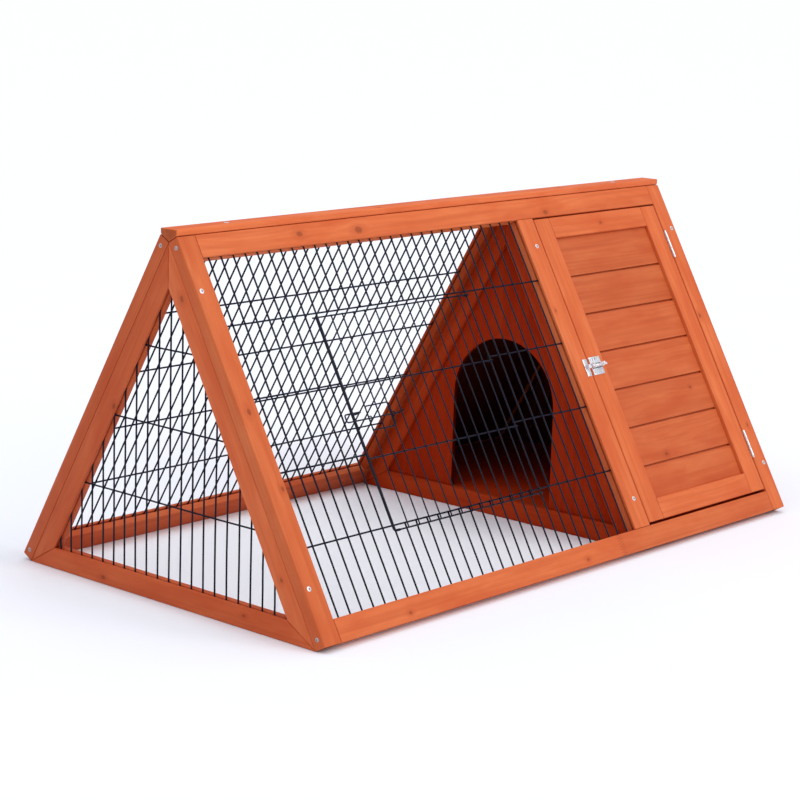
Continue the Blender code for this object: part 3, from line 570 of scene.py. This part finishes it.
def mesh_sheet(name, matrix, ups, rows, plane, body, nodes):
    """Round up-wires and cross wires welded to their inner side, in a panel's frame.

    ups are (place, low, high) and rows (left, height at left, right, height at right).
    """
    bm = bmesh.new()
    normal = Vector((0, 0, 1))
    near = plane + WELD
    far = plane - WELD
    for place, low, high in ups:
        tube(bm, wavy((place, low, near), (place, high, near), normal), WIRE_R)
    for left, at_left, right, at_right in rows:
        path = wavy((left, at_left, far), (right, at_right, far), normal, 0.0004, 12)
        tube(bm, path, WIRE_R)
    piece = new_object(name, bm, [WIRE], matrix)
    finish_piece(piece, body, "black_wire", *nodes)


FRONT_WIRES = [-0.5485 + WIRE_PITCH * i for i in range(29)]
FRONT_ROWS = [0.1445 + ROW_PITCH * j for j in range(4)]
BACK_WIRES = [-(-0.5365 + WIRE_PITCH * i) for i in range(28)]
HATCH_FIRST = 7          # up-wires of the front mesh at the sides of the door's opening
HATCH_LAST = 21
HATCH_LEFT = FRONT_WIRES[HATCH_FIRST]
HATCH_RIGHT = FRONT_WIRES[HATCH_LAST]
END_WIRES = 21
END_ROWS = (0.1515, 0.2702, 0.3889)
END_DEPTH = -0.0065      # of the end mesh inside the end face
END_SHIFT = 0.002        # of its up-wires towards the front
RUN_LOW = RAIL_W - TUCK
RUN_HIGH = SLOPE_H - RAIL_W + TUCK
ROW_SAG = -0.0035        # the front sheet sits a little lower at its right-hand end


def row_height(row, x):
    """Height of a front cross wire at x: the sheet sits slightly askew."""
    f = (x + HALF_L) / (2 * HALF_L)
    return row - ROW_SAG * (0.35 - f)


def front_mesh():
    """Run's front mesh in one sheet, with the wire door's opening cut in it."""
    ups = []
    for i, place in enumerate(FRONT_WIRES):
        if HATCH_FIRST < i < HATCH_LAST:
            ups.append((place, RUN_LOW, row_height(FRONT_ROWS[0], place) + WIRE_R))
            ups.append((place, row_height(FRONT_ROWS[3], place) - WIRE_R, RUN_HIGH))
        else:
            ups.append((place, RUN_LOW, RUN_HIGH))
    left = -STILE_IN - TUCK
    right = POST_LEFT + TUCK
    rows = []
    for j, row in enumerate(FRONT_ROWS):
        spans = [(left, right)]
        if j in (1, 2):
            spans = [(left, HATCH_LEFT + WIRE_R), (HATCH_RIGHT - WIRE_R, right)]
        for start, end in spans:
            rows.append((start, row_height(row, start), end, row_height(row, end)))
    mesh_sheet("front_run_mesh", FRONT, ups, rows, WIRE_H, "frame",
               ["front_mesh_left", "front_mesh_right", "front_mesh_over_door",
                "front_mesh_under_door"])


def back_mesh():
    """Run's back mesh in one sheet."""
    ups = [(place, RUN_LOW, RUN_HIGH) for place in BACK_WIRES]
    left = -(POST_LEFT + TUCK)
    right = STILE_IN + TUCK
    rows = [(left, 0.1365 + ROW_PITCH * j, right, 0.1375 + ROW_PITCH * j) for j in range(4)]
    mesh_sheet("back_run_mesh", BACK, ups, rows, WIRE_H, "frame", ["back_mesh"])


def end_mesh():
    """Triangle of mesh in the end frame."""
    matrix = Matrix(((0, 0, -1, -HALF_L), (1, 0, 0, 0), (0, 1, 0, 0), (0, 0, 0, 1)))
    tangent = SIN / COS
    half = HALF_BASE - CROSS_W / SIN
    ups = []
    for i in range(END_WIRES):
        y = (i - END_WIRES // 2) * WIRE_PITCH - END_SHIFT
        ups.append((y, CROSS_W - TUCK, (half - abs(y)) * tangent + TUCK))
    rows = []
    for z in END_ROWS:
        reach = half - z / tangent + TUCK
        rows.append((-reach, z, reach, z))
    mesh_sheet("end_run_mesh", matrix, ups, rows, END_DEPTH, "frame", ["end_mesh"])


# ---------------------------------------------------------------- wire door
HATCH_H = WIRE_H + 0.0038
HATCH_ROWS = (0.1365, 0.2517, 0.3668, 0.4820)
HATCH_SIDE = -0.379
HATCH_WIRE_R = 0.0013
UP_LIFT = 0.0018         # its up-wires lie this far outside its cross wires
UP_WIRE_R = 0.0011
FRAME_R = 0.0020
CORNER_R = 0.008
HOOK_TURN = 250          # degrees that a cross wire's end curls round the hinge wire
HOOK_STEPS = 14


def wire_hook(x_start, s):
    """A cross wire that runs to the hinge wire and curls round it."""
    lift = HATCH_H - WIRE_H
    path = [(x_start, s, HATCH_H), (HATCH_RIGHT - 0.006, s, HATCH_H)]
    for i in range(HOOK_STEPS + 1):
        turn = math.radians(90 - HOOK_TURN * i / HOOK_STEPS)
        path.append((HATCH_RIGHT + lift * math.cos(turn), s, WIRE_H + lift * math.sin(turn)))
    return path


def wire_door():
    """Welded door hung on the mesh, its side wire turned in at the foot."""
    bm = bmesh.new()
    low = HATCH_ROWS[0]
    high = HATCH_ROWS[3]
    side = [(HATCH_SIDE, high + 0.0012, HATCH_H), (HATCH_SIDE, low + 0.010, HATCH_H),
            (HATCH_SIDE, low, HATCH_H), (HATCH_SIDE + 0.012, low, HATCH_H)]
    tube(bm, rounded(side, CORNER_R), FRAME_R)
    for i in range(HATCH_FIRST + 1, HATCH_LAST):
        place = FRONT_WIRES[i]
        start = (place, low - 0.001, HATCH_H + UP_LIFT)
        end = (place, high + 0.001, HATCH_H + UP_LIFT)
        tube(bm, wavy(start, end, Vector((0, 0, 1)), 0.0004), UP_WIRE_R)
    starts = (HATCH_SIDE + 0.010, HATCH_SIDE, HATCH_SIDE, HATCH_SIDE - 0.0085)
    for s, start in zip(HATCH_ROWS, starts):
        tube(bm, wire_hook(start, s), HATCH_WIRE_R)
    piece = new_object("wire_door_welded", bm, [WIRE], FRONT)
    finish_piece(piece, "wire_door", "black_wire", "wire_door")


LATCH_S = 0.3115
LATCH_H = 0.0232         # latch wire's centre above the panel's inner face
GUIDE = (-0.3500, -0.2950, 0.2920, 0.3330)
GUIDE_H = 0.0206
GUIDE_R = 0.00115
STAPLE_R = 0.0009        # wire of the two staples on the loop
LATCH_R = 0.0012


def latch_guide():
    """Closed loop welded on the door's wires, with a staple at each side for the latch."""
    bm = bmesh.new()
    left, right, low, high = GUIDE
    inset = GUIDE_R
    loop = [((left + right) / 2, low + inset, GUIDE_H), (right - inset, low + inset, GUIDE_H),
            (right - inset, high - inset, GUIDE_H), (left + inset, high - inset, GUIDE_H),
            (left + inset, low + inset, GUIDE_H), ((left + right) / 2, low + inset, GUIDE_H)]
    tube(bm, rounded(loop, 0.005), GUIDE_R)
    reach = 0.0030
    for x in (left + inset, right - inset):
        arch = [(x, LATCH_S - reach, GUIDE_H), (x, LATCH_S - reach, LATCH_H + reach),
                (x, LATCH_S + reach, LATCH_H + reach), (x, LATCH_S + reach, GUIDE_H)]
        tube(bm, rounded(arch, 0.0022), STAPLE_R)
    piece = new_object("wire_latch_guide", bm, [WIRE], FRONT)
    finish_piece(piece, "wire_door", "black_wire", "wire_door_latch_guide")


def wire_latch():
    """Sliding wire with a thumb piece, a loop over the mesh and a hook turned inwards."""
    grip = -0.2860
    left = -0.4000
    upper = LATCH_S + 0.0125
    stem = -0.3630
    tip = -0.3710
    inside = WIRE_H - 0.0030
    path = [(grip, LATCH_S, LATCH_H + 0.014), (grip, LATCH_S, LATCH_H), (left, LATCH_S, LATCH_H),
            (left, upper, LATCH_H), (stem, upper, LATCH_H), (stem, upper, inside),
            (tip, upper, inside)]
    bm = bmesh.new()
    tube(bm, rounded(path, 0.004), LATCH_R, 10)
    piece = new_object("wire_latch_slider", bm, [WIRE], FRONT)
    finish_piece(piece, "wire_latch", "black_wire", "wire_door_latch")


# ---------------------------------------------------------------- fittings
FACE_SCREW_R = 0.0040    # heads on the panels' faces and the ridge cap
END_SCREW_R = 0.0034
LATCH_SCREW_R = 0.0022
LATCH_PLATE_T = 0.0013
MARK_R = 0.0008          # half the width of a slot or a painted shadow line on the latch


def screw_mesh(radius, name, metal):
    """Countersunk head with a cross recess; z is out of the wood."""
    profile = [(radius, -0.0006), (radius, 0.0002), (radius * 0.93, 0.00045),
               (radius * 0.70, 0.00055), (radius * 0.36, 0.00055)]
    sides = 24
    bm = bmesh.new()
    rings = []
    for r, h in profile:
        ring = []
        for i in range(sides):
            turn = 2 * math.pi * i / sides
            ring.append(bm.verts.new((r * math.cos(turn), r * math.sin(turn), h)))
        rings.append(ring)
    for lower, upper in zip(rings, rings[1:]):
        for i in range(sides):
            j = (i + 1) % sides
            bm.faces.new((lower[i], lower[j], upper[j], upper[i]))
    bm.faces.new(rings[0][::-1])
    # the recess: the inner ring drops to a cross-shaped floor
    arm = radius * 0.44
    core = radius * 0.17
    floor = []
    for i in range(sides):
        turn = 2 * math.pi * i / sides
        lobe = abs(math.cos(2 * turn))
        reach = core + (arm - core) * lobe ** 3
        floor.append(bm.verts.new((reach * math.cos(turn) * 0.82, reach * math.sin(turn) * 0.82,
                                   -0.0006)))
    dark = []
    for i in range(sides):
        j = (i + 1) % sides
        dark.append(bm.faces.new((rings[-1][i], rings[-1][j], floor[j], floor[i])))
    dark.append(bm.faces.new(floor))
    for face in dark:
        face.material_index = 1
    mesh = bpy.data.meshes.new(name)
    bm.to_mesh(mesh)
    bm.free()
    mesh.shade_smooth()
    mesh.set_sharp_from_angle(angle=math.radians(35))
    mesh.materials.append(metal)
    mesh.materials.append(RECESS)
    return mesh


def set_screw(mesh, name, point, out, body):
    """One screw head flush on a face, turned to a chance angle."""
    out = Vector(out).normalized()
    along = out.orthogonal().normalized()
    piece = bpy.data.objects.new(name, mesh)
    bpy.context.scene.collection.objects.link(piece)
    turn = Matrix.Rotation(RNG.uniform(0, math.pi), 4, "Z")
    piece.matrix_world = axes(along, out, point) @ turn
    finish_piece(piece, body, "zinc_plate")


def wood_screws():
    """Screws on the panels' faces and ends, and on the ridge cap."""
    big = screw_mesh(FACE_SCREW_R, "wood_screw_head", ZINC)
    small = screw_mesh(END_SCREW_R, "end_screw_head", SHADED_SCREW_ZINC)
    count = 0
    for panel, out, sign in ((FRONT, OUT_FRONT, 1), (BACK, OUT_BACK, -1)):
        for x in (-0.590, 0.590, (POST_LEFT + POST_RIGHT) / 2 + 0.0045):
            for s in (0.0865, 0.547):
                count += 1
                point = panel @ Vector((sign * x, s, PANEL_T))
                set_screw(big, f"face_screw_{count}", point, out, "frame")
        for end in (-HALF_L, HALF_L):
            for s in (0.0145, SLOPE_H - 0.0140):
                count += 1
                point = panel @ Vector((sign * end, s, PANEL_T / 2 + 0.001))
                set_screw(small, f"end_screw_{count}", point, (end, 0, 0), "frame")
    for number, x in enumerate((-0.481, 0.487)):
        set_screw(big, f"cap_screw_{number}", (x, 0.002, CAP_TOP), (0, 0, 1), "frame")


def hinges():
    """Leaves and pins with eased edges."""
    for label in ("lower", "upper"):
        for part in ("fixed_leaf", "door_leaf", "pin"):
            node = f"nest_hinge_{label}_{part}"
            low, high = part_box(node)
            matrix = axes(UP_FRONT, OUT_FRONT, (low + high) / 2)
            eased_copy(node, matrix, 0.00012, [ZINC], 2, 50)


def nest_latch():
    """Barrel bolt parts, their screws, the stamped slots of the plate and painted shadow lines along the barrel.
    """
    for node in ("nest_latch_keeper", "nest_latch_plate", "nest_latch_bolt"):
        low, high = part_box(node)
        matrix = axes(ALONG_X, OUT_FRONT, (low + high) / 2)
        eased_copy(node, matrix, 0.0002, [ZINC], 2, 45)
    head = screw_mesh(LATCH_SCREW_R, "latch_screw_head", ZINC)
    top = PANEL_T + LATCH_PLATE_T
    spots = (("frame", 0.2012, 0.3335), ("frame", 0.2012, 0.3100),
             ("nest_door", 0.2165, 0.3105), ("nest_door", 0.2400, 0.3105),
             ("nest_door", 0.2165, 0.3345), ("nest_door", 0.2400, 0.3345))
    for number, (body, x, s) in enumerate(spots):
        set_screw(head, f"latch_screw_{number}", FRONT @ Vector((x, s, top)), OUT_FRONT, body)
    # stamped slots beside the upper screws, and painted shadow lines along the barrel's two sides
    marks = (((0.2225, 0.3322), (0.2225, 0.3366)), ((0.2292, 0.3322), (0.2292, 0.3366)),
             ((0.2150, 0.3187), (0.2425, 0.3187)), ((0.2150, 0.3262), (0.2425, 0.3262)))
    for number, ends in enumerate(marks):
        bm = bmesh.new()
        tube(bm, [(x, s, top - 0.0003) for x, s in ends], MARK_R, 10)
        slot = new_object(f"latch_mark_{number}", bm, [RECESS], FRONT)
        finish_piece(slot, "nest_door", "zinc_plate")


# ---------------------------------------------------------------- stage
def floor():
    """Pale studio floor, just under the coop."""
    bm = bmesh.new()
    bmesh.ops.create_grid(bm, x_segments=1, y_segments=1, size=90)
    t = Tree("studio_floor")
    place = t.add("ShaderNodeTexCoord").outputs["Object"]
    t.feed(t.shader.inputs["Base Color"],
           t.mix(t.noise(place, 3, 2), (0.905, 0.925, 0.972, 1), (0.912, 0.930, 0.975, 1)))
    t.shader.inputs["Roughness"].default_value = 0.9
    t.shader.inputs["Specular IOR Level"].default_value = 0.1
    piece = new_object("studio_floor", bm, [t.material], Matrix.Translation((0, 0, -0.0004)))


def camera():
    """A low three-quarter view from the run's end, on the door side."""
    place = Vector((-2.8556, -2.4479, 1.0202))
    forward = Vector((0.73434, 0.64701, -0.20526))
    right = Vector((0.66566, -0.74560, 0.03122)).normalized()
    up = right.cross(forward).normalized()
    lens = bpy.data.cameras.new("camera")
    lens.lens = 102.75
    lens.sensor_width = 36
    lens.clip_end = 400
    item = bpy.data.objects.new("camera", lens)
    bpy.context.scene.collection.objects.link(item)
    item.matrix_world = Matrix((
        (right.x, up.x, -forward.x, place.x),
        (right.y, up.y, -forward.y, place.y),
        (right.z, up.z, -forward.z, place.z),
        (0, 0, 0, 1)))
    bpy.context.scene.camera = item


def soft_sun(name, direction, spread, strength, colour):
    """Even light over the whole floor, as from a large softbox far away."""
    light = bpy.data.lights.new(name, "SUN")
    light.angle = math.radians(spread)
    light.energy = strength
    light.color = colour
    item = bpy.data.objects.new(name, light)
    bpy.context.scene.collection.objects.link(item)
    item.rotation_euler = Vector(direction).to_track_quat("Z", "Y").to_euler()


def studio():
    """A soft key on the door side, a softer light overhead and a pale sky."""
    soft_sun("key", (0.25, -0.75, 0.61), 40, 1.20, (1.0, 0.985, 0.965))
    soft_sun("top", (-0.10, 0.05, 1.0), 90, 1.60, (1.0, 0.995, 0.99))
    world = bpy.data.worlds.new("studio_sky")
    world.use_nodes = True
    background = world.node_tree.nodes["Background"]
    background.inputs["Color"].default_value = (0.82, 0.87, 1.0, 1)
    background.inputs["Strength"].default_value = 0.45
    bpy.context.scene.world = world
    bpy.context.scene.view_settings.view_transform = "Standard"


camera()
floor()
studio()
side_panels()
cross_frames()
nest_door()
front_mesh()
back_mesh()
end_mesh()
wire_door()
latch_guide()
wire_latch()
wood_screws()
hinges()
nest_latch()
